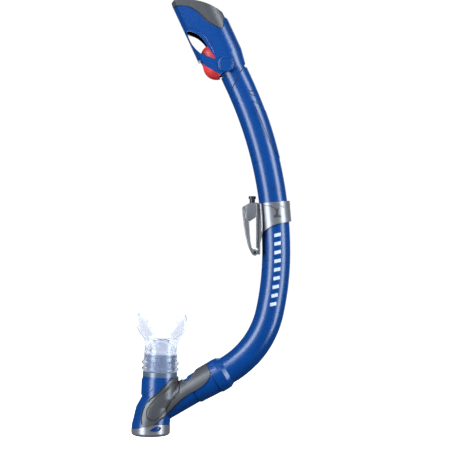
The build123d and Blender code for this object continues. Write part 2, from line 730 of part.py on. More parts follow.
with BuildPart() as purge_seat:
    with BuildSketch(Plane.XY.offset(BOWL_Z)):
        with Locations((PURGE_X, 0)):
            Circle(PURGE_R)
            with PolarLocations(7.6, 6):
                Circle(3.2, mode=Mode.SUBTRACT)
            Circle(1.5 + RUNNING, mode=Mode.SUBTRACT)
    extrude(amount=2.2)

with BuildPart() as purge_flap:
    with BuildSketch(Plane.XZ):
        with BuildLine():
            Polyline((PURGE_X, BOWL_Z - 1.6), (PURGE_X + 2, BOWL_Z - 1.6),
                     (PURGE_X + 12.2, BOWL_Z - 1.0), (PURGE_X + 12.2, BOWL_Z - 0.35),
                     (PURGE_X + 1.5, BOWL_Z - 0.35), (PURGE_X + 1.5, BOWL_Z + 4.2),
                     (PURGE_X + 2.3, BOWL_Z + 5.0), (PURGE_X + 1.0, BOWL_Z + 7.5),
                     (PURGE_X, BOWL_Z + 7.5), close=True)
        make_face()
    revolve(axis=Axis((PURGE_X, 0, 0), (0, 0, 1)))

COVER_TOP = -187.0
COVER_FOOT = -200.6
EYE = [(-102.2, -193.5), (-98.6, -190.9), (-94.4, -189.9), (-91.4, -191.7), (-92.8, -193.9),
       (-97.2, -195.0)]

with BuildPart() as purge_cover:
    with BuildSketch(Plane.XY.offset(COVER_TOP)):
        with Locations((PURGE_X, 0)):
            Ellipse(BOWL[1] + 0.3, BOWL[2] + 0.3)
    extrude(amount=COVER_FOOT - COVER_TOP)
    fillet(edges().group_by(Axis.Z)[0], 3.2)
    with BuildSketch(Plane.XY.offset(COVER_TOP)):
        with Locations((PURGE_X, 0)):
            Ellipse(BOWL[1] - COVER_WALL, BOWL[2] - COVER_WALL)
    extrude(amount=COVER_FOOT + 1.8 - COVER_TOP, mode=Mode.SUBTRACT)
    add(under_border(0.1), mode=Mode.INTERSECT)
    add(side_prism(EYE), mode=Mode.SUBTRACT)
    with BuildSketch(Plane.XY.offset(COVER_FOOT)):
        with Locations((PURGE_X, 0)):
            with GridLocations(4.6, 1, 5, 1):
                SlotOverall(18, 2.2, rotation=90)
    extrude(amount=3, mode=Mode.SUBTRACT)


# ---- mouthpiece -----------------------------------------------------------------------
with BuildPart() as mouthpiece:
    with BuildSketch(NECK_SIDE):
        with BuildLine():
            sleeve = Polyline((12.0, 24.0), (MOUTHPIECE_BORE_R, 22.9), (MOUTHPIECE_BORE_R, 5.4),
                              (17.0, 5.4), (17.0, 5.9))
            low_bead = ThreePointArc(sleeve @ 1, (19.3, 7.6), (17.0, 9.5))
            gap = Line(low_bead @ 1, (17.0, 11.4))
            high_bead = ThreePointArc(gap @ 1, (19.3, 13.4), (17.0, 15.4))
            Polyline(high_bead @ 1, (16.6, 24.0), (16.6, 26.0), (12.0, 26.0), (12.0, 24.0))
        make_face()
    revolve(axis=Axis(NECK.origin, NECK.z_dir))
    with BuildSketch(NECK.offset(23.5)):
        Circle(16.6)
    with BuildSketch(NECK.offset(40)):
        Ellipse(20.6, 12.4)
    loft()
    with BuildSketch(NECK_SIDE):
        with BuildLine():
            left = Spline((-24.0, 62.6), (-25.1, 53.5), (-23.3, 44.5), (-20.4, 38.0),
                          (-16.9, 30.0))
            Line(left @ 1, (16.9, 30.0))
            right = Spline((16.9, 30.0), (20.4, 38.0), (23.3, 44.5), (25.1, 53.5),
                           (24.0, 61.8))
            Line(right @ 1, (21.6, 61.8))
            inner = Spline((21.6, 61.8), (22.0, 53.5), (19.6, 45.5), (11.5, 38.6), (0, 36.6),
                           (-11.5, 38.6), (-19.6, 45.5), (-22.0, 53.5), (-21.6, 62.6))
            Line(inner @ 1, left @ 0)
        make_face()
    extrude(amount=13.0, both=True)
    for hand in (1, -1):
        with BuildSketch(NECK_SIDE):
            with BuildLine():
                Polyline((hand * 22.5, 59.5), (hand * 15.2, 59.5), (hand * 14.2, 52.3),
                         (hand * 8.8, 45.0), (hand * 10.6, 41.0), (hand * 12.5, 37.4),
                         (hand * 21.5, 42.0), close=True)
            make_face()
        extrude(amount=4.5, both=True)
    with BuildSketch(NECK.offset(22)):
        Circle(12.0)
    with BuildSketch(NECK.offset(44)):
        Ellipse(9.0, 6.0)
    loft(mode=Mode.SUBTRACT)


# ---- one file for each piece ----------------------------------------------------------
for node, name in [
        (main_tube, "main_tube"), (valve_housing, "valve_housing"), (head_cap, "head_cap"),
        (valve_seat, "valve_seat"), (pivot_pin, "pivot_pin"), (pivot_caps, "pivot_caps"),
        (seal_disc, "seal_disc"), (seal_retainer, "seal_retainer"),
        (float_lever, "float_lever"), (float_pod, "float_pod"),
        (keeper_liner, "keeper_liner"), (keeper_collar, "keeper_collar"),
        (clip_frame, "clip_frame"), (clip_pin, "clip_pin"), (clip_gate, "clip_gate"),
        (clip_button, "clip_button"), (button_spring, "button_spring"),
        (chamber_body, "chamber_body"), (arm_sleeve, "arm_sleeve"), (arm_o_ring, "arm_o_ring"),
        (chamber_overmould, "chamber_overmould"), (chamber_inlay, "chamber_inlay"),
        (neck_spigot, "neck_spigot"), (purge_seat, "purge_seat"), (purge_flap, "purge_flap"),
        (purge_cover, "purge_cover"), (mouthpiece, "mouthpiece")]:
    node.part.label = name
    export_step(node.part, "parts/" + name + ".step")
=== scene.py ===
# %% [markdown]
# # A dry-top snorkel
#
# The frame below is the finished design: every rigid piece is already in its place, in
# metres, and the moving ones know which body they ride on. This lesson gives each piece its
# surface, and models by hand what the design leaves plain: the clear silicone mouthpiece,
# the seams between the mouldings, the raised rims and the print on the tube.

# %% Load the frame
import math
import bpy
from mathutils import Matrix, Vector


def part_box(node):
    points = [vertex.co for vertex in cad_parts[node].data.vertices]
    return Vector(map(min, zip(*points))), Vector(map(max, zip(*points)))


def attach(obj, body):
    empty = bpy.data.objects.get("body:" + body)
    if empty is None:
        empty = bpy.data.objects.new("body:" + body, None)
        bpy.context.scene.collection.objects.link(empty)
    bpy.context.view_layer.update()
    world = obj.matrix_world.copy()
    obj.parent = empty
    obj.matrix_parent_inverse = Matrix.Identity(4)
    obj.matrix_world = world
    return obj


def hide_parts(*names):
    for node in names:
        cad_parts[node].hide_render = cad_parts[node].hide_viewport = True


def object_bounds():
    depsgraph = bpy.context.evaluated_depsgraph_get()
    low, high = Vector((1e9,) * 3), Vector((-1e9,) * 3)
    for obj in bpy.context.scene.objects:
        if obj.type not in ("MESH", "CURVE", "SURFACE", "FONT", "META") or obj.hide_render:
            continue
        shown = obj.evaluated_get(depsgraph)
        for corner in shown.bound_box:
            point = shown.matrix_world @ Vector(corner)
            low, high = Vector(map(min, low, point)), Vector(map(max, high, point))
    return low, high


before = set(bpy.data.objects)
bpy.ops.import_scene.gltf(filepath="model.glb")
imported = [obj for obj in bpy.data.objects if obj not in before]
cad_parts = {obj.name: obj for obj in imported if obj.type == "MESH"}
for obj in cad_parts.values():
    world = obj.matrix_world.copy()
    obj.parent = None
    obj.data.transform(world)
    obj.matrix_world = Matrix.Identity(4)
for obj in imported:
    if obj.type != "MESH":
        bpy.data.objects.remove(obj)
CAD_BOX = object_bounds()
MM = 0.001
print("design box, metres:", [[round(v, 4) for v in corner] for corner in CAD_BOX])

# %% [markdown]
# ## The studio
#
# A product like this is usually shown upright on white, from about arm's length, so the
# round rims near the top and the foot open a little as ellipses. A pale floor sits well
# below the snorkel and a white surround fills the rest of the picture. The surround is seen
# by the camera only: if the plastic mirrored it, its edges would wash out.

# %% The camera
VIEW_CENTRE = Vector((-0.024, 0.0, 0.006))
VIEW_WIDTH = 0.460
CAMERA_DISTANCE = 1.27
SENSOR_MM = 36.0
NEAREST, FARTHEST = 0.05, 50.0

camera_data = bpy.data.cameras.new("camera")
camera_data.sensor_width = SENSOR_MM
camera_data.lens = SENSOR_MM * CAMERA_DISTANCE / VIEW_WIDTH
camera_data.clip_start = NEAREST
camera_data.clip_end = FARTHEST
camera = bpy.data.objects.new("camera", camera_data)
camera.location = VIEW_CENTRE + Vector((0.0, -CAMERA_DISTANCE, 0.0))
camera.rotation_euler = (math.radians(90), 0.0, 0.0)
bpy.context.collection.objects.link(camera)
bpy.context.scene.camera = camera
print("lens, mm:", round(camera_data.lens, 1))


# %% Helpers for the studio
def deselect_all():
    """Leave nothing selected, because operators act on all that is."""
    if bpy.context.object and bpy.context.object.mode != "OBJECT":
        bpy.ops.object.mode_set(mode="OBJECT")
    for thing in bpy.context.selected_objects:
        thing.select_set(False)


def node_material(name):
    """A new node material with its Principled shader; returns material, shader, nodes, links."""
    material = bpy.data.materials.new(name)
    material.use_nodes = True
    nodes = material.node_tree.nodes
    return material, nodes["Principled BSDF"], nodes, material.node_tree.links


DAYLIGHT = (0.82, 0.94, 1.0)


def soft_box(name, place, size, watts):
    """A rectangular area light at place, facing the snorkel."""
    data = bpy.data.lights.new(name, "AREA")
    data.shape = "RECTANGLE"
    data.size, data.size_y = size
    data.energy = watts
    data.color = DAYLIGHT
    lamp = bpy.data.objects.new(name, data)
    lamp.location = place
    lamp.visible_transmission = False
    lamp.rotation_euler = (-Vector(place)).to_track_quat("-Z", "Y").to_euler()
    bpy.context.collection.objects.link(lamp)
    return lamp


# %% [markdown]
# ## Light
#
# A glossy tube shows its lights as stripes. An environment picture could light it, but its
# stripes could not be placed. Two tall soft boxes, one to the left and one further round to
# the right, draw the two long highlights where they are wanted. Weaker ones pick out the
# head, the top and the back, and a dim world keeps the plastic's edges dark and its blue deep.

# %% The floor, the surround and the lights
FLOOR_DROP = 0.12
FLOOR_SIZE = 12.0
SURROUND_RADIUS = 5.0
WHITE = (1, 1, 1, 1)
PALE = (0.9, 0.9, 0.9, 1)
UNLIT = (0, 0, 0, 1)
SKY = (0.85, 0.9, 1.0, 1)
SKY_STRENGTH = 0.07

deselect_all()
bpy.ops.mesh.primitive_plane_add(size=FLOOR_SIZE,
                                 location=(0, 0, CAD_BOX[0][2] - FLOOR_DROP))
floor = bpy.context.object
floor.name = "floor"
floor_paint, floor_shader, _, _ = node_material("floor_paint")
floor_shader.inputs["Base Color"].default_value = PALE
floor_shader.inputs["Roughness"].default_value = 0.9
floor_shader.inputs["Specular IOR Level"].default_value = 0.0
floor_shader.inputs["Emission Color"].default_value = WHITE
floor_shader.inputs["Emission Strength"].default_value = 1.0
floor.data.materials.append(floor_paint)
floor.visible_glossy = False
floor.visible_diffuse = False

deselect_all()
bpy.ops.mesh.primitive_uv_sphere_add(segments=48, ring_count=24, radius=SURROUND_RADIUS)
surround = bpy.context.object
surround.name = "surround"
surround_paint, surround_shader, _, _ = node_material("surround_paint")
surround_shader.inputs["Base Color"].default_value = UNLIT
surround_shader.inputs["Emission Color"].default_value = WHITE
surround_shader.inputs["Emission Strength"].default_value = 1.0
surround.data.materials.append(surround_paint)
surround.visible_glossy = False
surround.visible_diffuse = False
surround.visible_shadow = False

world = bpy.data.worlds.new("studio")
world.use_nodes = True
world.node_tree.nodes["Background"].inputs["Color"].default_value = SKY
world.node_tree.nodes["Background"].inputs["Strength"].default_value = SKY_STRENGTH
bpy.context.scene.world = world

soft_box("left_box", (-1.06, -0.89, 0.2), (0.62, 1.9), 44)
soft_box("right_box", (1.19, -0.69, 0.15), (0.60, 1.9), 42)
soft_box("back_box", (0.3, 1.6, 0.3), (1.2, 1.6), 9)
soft_box("head_box", (-0.42, -1.15, 0.62), (0.30, 0.30), 2.2)
soft_box("top_box", (-0.1, -0.2, 1.4), (1.0, 0.8), 3)
bpy.context.scene.view_settings.view_transform = "Standard"

# %% [markdown]
# ## Surfaces
#
# Moulded plastic is never one flat colour. Pigment flows in slightly uneven clouds, the
# mould leaves a faint orange-peel, and handling gives fine scuffs that only show in the
# gloss. Painted pictures would need unwrapping for every piece. Noise on object coordinates
# needs none and never shows a seam, so one helper builds the three layers that way, and each
# finish below only says how strong they are.

# %% The layered plastic helper
SCUFF_SCALE = 260.0
PEEL_STRENGTH = 0.35


def moulded(name, low, high, rough, metallic=0.0, cloud=35.0, peel=900.0, peel_depth=0.000004,
            flakes=0.0):
    """Plastic from two close colours, a roughness range and a fine peel or metal flake."""
    material, shader, nodes, links = node_material(name)
    where = nodes.new("ShaderNodeTexCoord")

    clouds = nodes.new("ShaderNodeTexNoise")
    clouds.inputs["Scale"].default_value = cloud
    clouds.inputs["Detail"].default_value = 4.0
    links.new(where.outputs["Object"], clouds.inputs["Vector"])
    tint = nodes.new("ShaderNodeValToRGB")
    tint.color_ramp.elements[0].position = 0.3
    tint.color_ramp.elements[0].color = (*low, 1)
    tint.color_ramp.elements[1].position = 0.7
    tint.color_ramp.elements[1].color = (*high, 1)
    links.new(clouds.outputs["Fac"], tint.inputs["Fac"])
    links.new(tint.outputs["Color"], shader.inputs["Base Color"])

    scuffs = nodes.new("ShaderNodeTexNoise")
    scuffs.inputs["Scale"].default_value = SCUFF_SCALE
    scuffs.inputs["Detail"].default_value = 6.0
    scuffs.inputs["Roughness"].default_value = 0.7
    links.new(where.outputs["Object"], scuffs.inputs["Vector"])
    gloss = nodes.new("ShaderNodeMapRange")
    gloss.inputs["From Min"].default_value = 0.3
    gloss.inputs["From Max"].default_value = 0.7
    gloss.inputs["To Min"].default_value = rough[0]
    gloss.inputs["To Max"].default_value = rough[1]
    links.new(scuffs.outputs["Fac"], gloss.inputs["Value"])
    links.new(gloss.outputs["Result"], shader.inputs["Roughness"])

    grain = nodes.new("ShaderNodeTexVoronoi" if flakes else "ShaderNodeTexNoise")
    grain.inputs["Scale"].default_value = flakes if flakes else peel
    links.new(where.outputs["Object"], grain.inputs["Vector"])
    bump = nodes.new("ShaderNodeBump")
    bump.inputs["Strength"].default_value = PEEL_STRENGTH
    bump.inputs["Distance"].default_value = peel_depth
    links.new(grain.outputs["Distance" if flakes else "Fac"], bump.inputs["Height"])
    links.new(bump.outputs["Normal"], shader.inputs["Normal"])

    shader.inputs["Metallic"].default_value = metallic
    return material


def paint(node, material):
    """Give a design node a surface, in every slot it has."""
    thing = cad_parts[node]
    if not thing.data.materials:
        thing.data.materials.append(material)
    for slot in thing.material_slots:
        slot.material = material


# %% The finishes
BLUE = moulded("royal_blue", (0.0, 0.036, 0.175), (0.0, 0.042, 0.20), (0.26, 0.30))
GREY = moulded("satin_grey", (0.070, 0.066, 0.072), (0.086, 0.081, 0.089), (0.36, 0.42),
               metallic=0.3, flakes=2600.0, peel_depth=0.000002)
SPIGOT = moulded("smoke_grey", (0.10, 0.12, 0.165), (0.125, 0.145, 0.20), (0.30, 0.36),
                 metallic=0.35)
SILVER = moulded("satin_silver", (0.215, 0.203, 0.220), (0.25, 0.237, 0.256), (0.32, 0.38),
                 metallic=0.55, flakes=3000.0, peel_depth=0.000002)
# Painted shade: a darker copy of the satin silver, laid where the clip and collar are in shade.
SHADE_SILVER = moulded("painted_shade_silver", (0.066, 0.063, 0.070), (0.084, 0.080, 0.090), (0.36, 0.44),
                   metallic=0.5, flakes=3000.0, peel_depth=0.000002)
RED = moulded("float_red", (0.62, 0.030, 0.032), (0.68, 0.038, 0.040), (0.38, 0.46))
BLACK = moulded("black_plastic", (0.008, 0.008, 0.012), (0.016, 0.016, 0.022), (0.3, 0.45))
# Painted shade: a near-black for thin lines that stand in for the shadow in seams, grooves and
# creases.
SEAM_SHADE = moulded("seam_shadow", (0.002, 0.004, 0.012), (0.004, 0.007, 0.018), (0.6, 0.8))
SEAL = moulded("seal_rubber", (0.05, 0.055, 0.06), (0.07, 0.075, 0.08), (0.5, 0.6))
LINER = moulded("liner_plastic", (0.10, 0.10, 0.11), (0.13, 0.13, 0.14), (0.4, 0.5))
STEEL = moulded("steel", (0.42, 0.42, 0.43), (0.5, 0.5, 0.51), (0.22, 0.34), metallic=1.0)
PRINT = moulded("white_print", (0.50, 0.52, 0.58), (0.58, 0.60, 0.66), (0.45, 0.6), cloud=400.0)
print("finishes:", len(bpy.data.materials))

# %% [markdown]
# ## Clear silicone
#
# The mouthpiece and the purge flap are soft clear rubber. It could be faked with a pale, half
# see-through plastic, but real refraction is what makes the beads and rims show. It is faintly
# frosted and a little blue, and it bends light slightly more than water does.

# %% The silicone finish
SILICONE_IOR = 1.41
FROST_LOW, FROST_HIGH = 0.18, 0.28
HAZE_SCALE = 120.0


def clear_silicone():
    """Soft clear rubber: a little blue, faintly frosted, with true refraction."""
    material, shader, nodes, links = node_material("clear_silicone")
    where = nodes.new("ShaderNodeTexCoord")
    haze = nodes.new("ShaderNodeTexNoise")
    haze.inputs["Scale"].default_value = HAZE_SCALE
    haze.inputs["Detail"].default_value = 3.0
    links.new(where.outputs["Object"], haze.inputs["Vector"])
    frost = nodes.new("ShaderNodeMapRange")
    frost.inputs["To Min"].default_value = FROST_LOW
    frost.inputs["To Max"].default_value = FROST_HIGH
    links.new(haze.outputs["Fac"], frost.inputs["Value"])
    links.new(frost.outputs["Result"], shader.inputs["Roughness"])
    tint = nodes.new("ShaderNodeValToRGB")
    tint.color_ramp.elements[0].color = (0.64, 0.68, 0.80, 1)
    tint.color_ramp.elements[1].color = (0.74, 0.77, 0.87, 1)
    links.new(haze.outputs["Fac"], tint.inputs["Fac"])
    links.new(tint.outputs["Color"], shader.inputs["Base Color"])
    shader.inputs["Transmission Weight"].default_value = 1.0
    shader.inputs["IOR"].default_value = SILICONE_IOR
    return material


CLEAR = clear_silicone()
print("silicone:", CLEAR.name)

# %% [markdown]
# ## Painting the design
#
# The pieces of the design are already modelled, so they only need their finish. Each could be
# picked and painted by hand, but a table of finishes and pieces is shorter, and shows at a
# glance which pieces come out of the same mould.

# %% Paint the design's own nodes
PAINTED = [
    (BLUE, ("main_tube", "valve_housing", "pivot_caps", "arm_sleeve", "chamber_body")),
    (GREY, ("head_cap", "chamber_overmould", "chamber_inlay")),
    (SILVER, ("keeper_collar", "clip_frame", "clip_gate", "purge_cover")),
    (BLACK, ("clip_button", "clip_pin", "valve_seat", "float_lever", "seal_retainer",
             "purge_seat")),
    (STEEL, ("pivot_pin", "button_spring")),
    (SEAL, ("seal_disc", "arm_o_ring")),
    (SPIGOT, ("neck_spigot",)),
    (CLEAR, ("purge_flap",)),
    (RED, ("float_pod",)),
    (LINER, ("keeper_liner",)),
]
for finish, nodes_of_design in PAINTED:
    for node in nodes_of_design:
        paint(node, finish)
print("painted:", sum(len(names) for _, names in PAINTED), "nodes")

# %% [markdown]
# ## Lines laid on a curved surface
#
# Seams, rims and moulded creases all follow a surface that is already there. Modelling them
# flat and then laying them on is quick and exact: a vertex is extruded from point to point
# in front of the object, the chain is smoothed as a Bezier curve, a Shrinkwrap modifier
# drops it straight back onto the surface, and a bevel gives it its round section. A Mirror
# modifier makes the same line on the far side.

# %% Drawing a path in front of the object
DRAWING_Y = -0.06
CURVE_STEPS = 8
MERGE_DISTANCE = 0.00001
SMOOTH_ANGLE = math.radians(40)


def edit(thing):
    """Open one object for editing with all its vertices selected."""
    deselect_all()
    thing.select_set(True)
    bpy.context.view_layer.objects.active = thing
    bpy.ops.object.mode_set(mode="EDIT")
    bpy.ops.mesh.select_mode(type="VERT")
    bpy.ops.mesh.select_all(action="SELECT")


def only(thing):
    """Make one object the only one selected, in object mode."""
    deselect_all()
    thing.select_set(True)
    bpy.context.view_layer.objects.active = thing


def face_outwards(thing, merge=False):
    """Turn all faces of a closed shape outwards, after its doubles are merged if asked."""
    edit(thing)
    if merge:
        bpy.ops.mesh.remove_doubles(threshold=MERGE_DISTANCE)
    bpy.ops.mesh.normals_make_consistent(inside=False)
    bpy.ops.object.mode_set(mode="OBJECT")


def apply_modifier(thing, kind, **settings):
    """Add one modifier, set it and apply it."""
    only(thing)
    modifier = thing.modifiers.new(kind.lower(), kind)
    for name, value in settings.items():
        setattr(modifier, name, value)
    bpy.ops.object.modifier_apply(modifier=modifier.name)


def drawn_path(name, points, closed=False, smooth=True):
    """A line of edges through (x, z) points in millimetres, drawn in front of the object."""
    deselect_all()
    places = [Vector((x * MM, DRAWING_Y, z * MM)) for x, z in points]
    bpy.ops.mesh.primitive_plane_add(size=MM, location=places[0])
    path = bpy.context.object
    path.name = name
    bpy.ops.object.transform_apply(location=True, rotation=True, scale=True)
    edit(path)
    bpy.ops.mesh.merge(type="CENTER")
    for before, after in zip(places, places[1:]):
        bpy.ops.mesh.extrude_region_move(TRANSFORM_OT_translate={"value": after - before})
    bpy.ops.object.mode_set(mode="OBJECT")
    if closed:
        for vertex in path.data.vertices:
            vertex.select = vertex.index in (0, len(places) - 1)
        bpy.ops.object.mode_set(mode="EDIT")
        bpy.ops.mesh.edge_face_add()
        bpy.ops.object.mode_set(mode="OBJECT")
    if smooth:
        bpy.ops.object.convert(target="CURVE")
        bpy.ops.object.mode_set(mode="EDIT")
        bpy.ops.curve.select_all(action="SELECT")
        bpy.ops.curve.spline_type_set(type="BEZIER")
        bpy.ops.curve.handle_type_set(type="AUTOMATIC")
        bpy.ops.object.mode_set(mode="OBJECT")
        path.data.resolution_u = CURVE_STEPS
        bpy.ops.object.convert(target="MESH")
    return bpy.context.object


def skin_of(*names):
    """One merged copy of some design nodes, for lines to be laid on."""
    deselect_all()
    for name in names:
        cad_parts[name].select_set(True)
    bpy.context.view_layer.objects.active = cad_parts[names[0]]
    bpy.ops.object.duplicate()
    bpy.ops.object.join()
    return bpy.context.object


TUBE_SKIN = skin_of("main_tube", "valve_housing", "head_cap", "arm_sleeve", "chamber_body",
                    "chamber_overmould", "chamber_inlay", "purge_cover")
KEEPER_SKIN = skin_of("keeper_collar", "clip_frame")


def lay_on(piece, skin, rise):
    """Drop a drawn piece straight back onto a skin, and stand it off by rise."""
    apply_modifier(piece, "SHRINKWRAP", target=skin, wrap_method="PROJECT",
                   use_project_y=True, use_positive_direction=True,
                   use_negative_direction=False, offset=rise)
    for part in (piece.data.vertices, piece.data.edges, piece.data.polygons):
        for element in part:
            element.select = False
    missed = [v for v in piece.data.vertices if abs(v.co.y - DRAWING_Y) < MM]
    if missed:
        for vertex in missed:
            vertex.select = True
        bpy.ops.object.mode_set(mode="EDIT")
        bpy.ops.mesh.delete(type="VERT")
        bpy.ops.object.mode_set(mode="OBJECT")
        print("  trimmed where it leaves the surface:", piece.name, len(missed))


def mirror_across(piece):
    """Add the same shape on the far side of the object."""
    apply_modifier(piece, "MIRROR", use_axis=(False, True, False), use_mirror_merge=False)


def finish_piece(piece, name, body, material, replaces=()):
    """Name a piece, paint it and say what it rides on."""
    piece.name = name
    piece.data.name = name
    piece.data.materials.clear()
    piece.data.materials.append(material)
    only(piece)
    bpy.ops.object.shade_smooth_by_angle(angle=SMOOTH_ANGLE)
    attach(piece, body)
    if replaces:
        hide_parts(*replaces)
    return piece


# %% A round bead that follows a surface
BEAD_ROUNDNESS = 2


def bead(name, points, skin, radius, body, material, closed=False, rise=0.0):
    """A thin round line moulded along a surface, on both sides of the object."""
    line = drawn_path(name, points, closed)
    lay_on(line, skin, rise * MM)
    only(line)
    bpy.ops.object.convert(target="CURVE")
    line = bpy.context.object
    line.data.bevel_depth = radius * MM
    line.data.bevel_resolution = BEAD_ROUNDNESS
    line.data.use_fill_caps = True
    bpy.ops.object.convert(target="MESH")
    line = bpy.context.object
    mirror_across(line)
    face_outwards(line, merge=True)
    return finish_piece(line, name, body, material)


# %% [markdown]
# ## Thin raised panels
#
# Print, badges and shallow moulded fields are thin skins over a curved wall. The outline is
# drawn as before and filled, then cut into small squares with Bisect so that it can bend,
# laid on the surface and given its thickness by Solidify.

# %% A thin panel that follows a surface
PANEL_STEP = 1.6
PANEL_RISE = 0.05


def panel(name, outline, skin, thickness, body, material, smooth=True,
          rise=PANEL_RISE):
    """A thin raised field with a drawn outline, on both sides of the object."""
    field = drawn_path(name, outline, closed=True, smooth=smooth)
    edit(field)
    bpy.ops.mesh.remove_doubles(threshold=MERGE_DISTANCE)
    bpy.ops.mesh.edge_face_add()
    for axis in (0, 2):
        low = min(v.co[axis] for v in field.data.vertices)
        high = max(v.co[axis] for v in field.data.vertices)
        cuts = int((high - low) / (PANEL_STEP * MM))
        for cut in range(1, cuts + 1):
            place = Vector((0.0, DRAWING_Y, 0.0))
            place[axis] = low + (high - low) * cut / (cuts + 1)
            normal = Vector((0.0, 0.0, 0.0))
            normal[axis] = 1.0
            bpy.ops.mesh.select_all(action="SELECT")
            bpy.ops.mesh.bisect(plane_co=place, plane_no=normal)
    bpy.ops.mesh.select_all(action="SELECT")
    bpy.ops.mesh.normals_make_consistent(inside=False)
    bpy.ops.object.mode_set(mode="OBJECT")
    if field.data.polygons[0].normal.y > 0:
        edit(field)
        bpy.ops.mesh.flip_normals()
        bpy.ops.object.mode_set(mode="OBJECT")
    lay_on(field, skin, rise * MM)
    apply_modifier(field, "SOLIDIFY", thickness=thickness * MM, offset=0.0)
    mirror_across(field)
    return finish_piece(field, name, body, material)


# %% [markdown]
# ## Slabs
#
# A part with straight sides through the object, such as a cheek plate or a bite pad, is an
# outline filled and extruded, with its edges rounded by Bevel.

# %% A slab with a drawn outline
CORNER_ANGLE = math.radians(60)
CORNER_SEGMENTS = 3


def slab(name, outline, near, far, soften, smooth=False):
    """An outline in millimetres, extruded from near to far along Y, with rounded edges."""
    block = drawn_path(name, outline, closed=True, smooth=smooth)
    edit(block)
    bpy.ops.mesh.remove_doubles(threshold=MERGE_DISTANCE)
    bpy.ops.mesh.edge_face_add()
    bpy.ops.transform.translate(value=(0.0, near * MM - DRAWING_Y, 0.0))
    bpy.ops.mesh.extrude_region_move(
        TRANSFORM_OT_translate={"value": (0.0, (far - near) * MM, 0.0)})
    bpy.ops.mesh.select_all(action="SELECT")
    bpy.ops.mesh.normals_make_consistent(inside=False)
    bpy.ops.object.mode_set(mode="OBJECT")
    apply_modifier(block, "BEVEL", width=soften * MM, segments=CORNER_SEGMENTS,
                   limit_method="ANGLE", angle_limit=CORNER_ANGLE)
    return block


# %% [markdown]
# ## The head
#
# The grey cap meets the blue housing along an S-shaped seam, whose shaded gap is painted as a
# dark line. The float window has a raised rim that catches the light, the pivot's cap a raised
# ring, and a crease runs down the housing's back edge, its shade painted dark. The sloping line
# where the housing plugs onto the tube is a seam too, with its shade painted dark. A bump in
# the material could hint at them, but it vanishes at the outline, so each is a bead of its own.

# %% Seams, rims and creases of the head
# Painted shade: the cap's seam, the back crease and the housing seam are dark beads.
bead("cap_seam_shade",
     [(-78.3, 226.4), (-73.0, 227.2), (-66.5, 226.9), (-60.2, 224.9), (-54.5, 221.2),
      (-49.5, 216.4), (-44.4, 212.0), (-37.7, 207.8), (-33.0, 205.5), (-30.9, 205.4),
      (-29.6, 207.4), (-29.0, 212.0)],
     TUBE_SKIN, 0.42, "tube", SEAM_SHADE)
bead("window_rim",
     [(-64.8, 204.6), (-60.5, 205.3), (-55.3, 203.2), (-50.2, 199.3), (-45.9, 193.9),
      (-42.0, 187.3), (-38.6, 180.5)],
     TUBE_SKIN, 0.45, "tube", BLUE)
bead("back_crease",
     [(-26.2, 213.5), (-23.3, 206.0), (-20.2, 198.0), (-17.3, 190.0), (-15.4, 184.6)],
     TUBE_SKIN, 0.45, "tube", SEAM_SHADE)
bead("housing_seam", [(-9.0, 168.8), (-13.5, 160.2), (-18.0, 151.6), (-22.0, 143.9)],
     TUBE_SKIN, 0.42, "tube", SEAM_SHADE)


# %% [markdown]
# The pivot's round cap has a raised ring near its edge. A bead could be drawn round it, but
# a torus is already a true circle, so one is added at the cap's centre, pressed flat and
# mirrored to the other side.

# %% The ring on the pivot's cap
RING_INSET = 1.6
RING_THICKNESS = 0.8
RING_STAND_OFF = 0.1
RING_PRESS = 0.45
CAP_LOW, CAP_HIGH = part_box("pivot_caps")
cap_centre = Vector(((CAP_LOW[0] + CAP_HIGH[0]) / 2, CAP_LOW[1] - RING_STAND_OFF * MM,
                     (CAP_LOW[2] + CAP_HIGH[2]) / 2))
cap_radius = (CAP_HIGH[0] - CAP_LOW[0]) / 2

deselect_all()
bpy.ops.mesh.primitive_torus_add(location=cap_centre, rotation=(math.radians(90), 0, 0),
                                 major_radius=cap_radius - RING_INSET * MM,
                                 minor_radius=RING_THICKNESS * MM,
                                 major_segments=72, minor_segments=12)
ring = bpy.context.object
bpy.ops.object.transform_apply(location=True, rotation=True, scale=True)
edit(ring)
bpy.ops.transform.resize(value=(1.0, RING_PRESS, 1.0))
bpy.ops.object.mode_set(mode="OBJECT")
mirror_across(ring)
finish_piece(ring, "pivot_cap_ring", "tube", BLUE)
print("head pieces done")

# %% [markdown]
# ## The tube's moulded lines
#
# Below the head the mould leaves a few short curved lines and a leaf-shaped field that
# tapers down the tube's outer side. The leaf is in the design, and its brow and vein are
# creases here. They could be cut into the wall, but a thin bead in painted shade reads as a
# groove and leaves the wall alone. All are drawn by one loop.

# %% Creases on the tube
# Painted shade: every crease but the blue brow streak is a dark bead standing in for a groove's
# shadow.
for name, points, radius, finish in [
        ("brow_streak", [(-17.4, 147.4), (-13.6, 146.3), (-9.8, 143.6)], 0.4, BLUE),
        ("short_crease_high", [(-5.3, 144.2), (-2.2, 143.2), (0.7, 144.6)], 0.4, SEAM_SHADE),
        ("short_crease_low", [(-4.1, 141.4), (-0.6, 139.1), (2.8, 138.8)], 0.4, SEAM_SHADE),
        ("leaf_brow", [(-2.0, 133.3), (2.6, 132.0), (6.2, 129.8), (9.4, 127.2)], 0.48, SEAM_SHADE),
        ("leaf_vein", [(1.0, 129.0), (6.8, 116.8), (12.8, 102.6), (18.0, 92.4),
                       (22.4, 84.0)], 0.34, SEAM_SHADE),
        ("lower_mark", [(16.2, 47.0), (19.6, 46.6), (23.0, 47.0)], 0.25, SEAM_SHADE)]:
    bead(name, points, TUBE_SKIN, radius, "tube", finish)
print("tube creases done")

